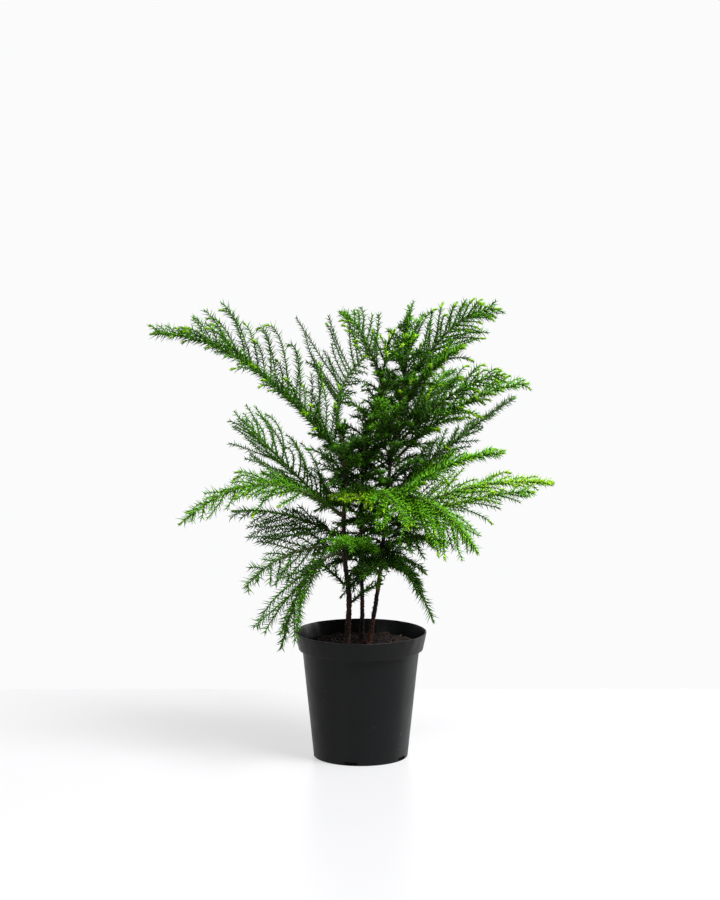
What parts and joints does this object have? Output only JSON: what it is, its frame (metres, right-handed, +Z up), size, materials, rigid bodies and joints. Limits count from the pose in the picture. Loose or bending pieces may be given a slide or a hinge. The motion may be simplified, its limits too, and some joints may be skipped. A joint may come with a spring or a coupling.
{
  "type": "potted norfolk island pine",
  "caption": "Young Norfolk Island pine with slender leaning stems and arching, feathery boughs of needles, in a round tapering nursery pot with a deep collar.",
  "frame": {"origin": "centre of the pot's flat underside", "axes": "+Z up, +X to the right and +Y away from the viewer of the front view"},
  "size_m": [0.5289, 0.3432, 0.6116],
  "materials": {
    "pot": "black injection-moulded plastic, satin",
    "soil": "dark moist potting mix, rough",
    "stem": "thin reddish-brown bark with old needle scars",
    "bough": "brown-green young bark",
    "needles": "soft awl-shaped green needles, yellow-green at the young tips"
  },
  "bodies": {
    "root": {"pot": "pot", "soil": "soil", "stem_left": "stem", "stem_middle": "stem", "stem_right": "stem", "bough_left_high": "bough", "bough_left_fan": "bough", "bough_left_long": "bough", "bough_left_dark": "bough", "bough_front_left_low": "bough", "bough_left_low": "bough", "bough_front_light": "bough", "bough_front_right": "bough", "bough_right_high": "bough", "bough_right_upper": "bough", "bough_right_middle": "bough", "bough_right_dark": "bough", "bough_right_bright": "bough", "bough_right_long": "bough", "bough_back_left_tall": "bough", "bough_back_tall": "bough", "bough_back_low": "bough", "bough_back_left": "bough", "bough_back_right": "bough", "bough_back_middle": "bough", "bough_back_right_high": "bough", "bough_front_middle": "bough", "spray_left_high": "needles", "spray_left_fan": "needles", "spray_left_long": "needles", "spray_left_dark": "needles", "spray_front_left_low": "needles", "spray_left_low": "needles", "spray_front_light": "needles", "spray_front_right": "needles", "spray_right_high": "needles", "spray_right_upper": "needles", "spray_right_middle": "needles", "spray_right_dark": "needles", "spray_right_bright": "needles", "spray_right_long": "needles", "spray_back_left_tall": "needles", "spray_back_tall": "needles", "spray_back_low": "needles", "spray_back_left": "needles", "spray_back_right": "needles", "spray_back_middle": "needles", "spray_back_right_high": "needles", "spray_front_middle": "needles", "spray_left_lowest": "needles", "spray_middle_lowest": "needles", "spray_right_low": "needles", "spray_front_right_low": "needles", "spray_front_band": "needles", "spray_front_high": "needles", "spray_front_top": "needles", "spray_middle_top": "needles", "spray_left_leader": "needles", "spray_middle_leader": "needles", "spray_right_leader": "needles"}
  },
  "joints": []
}
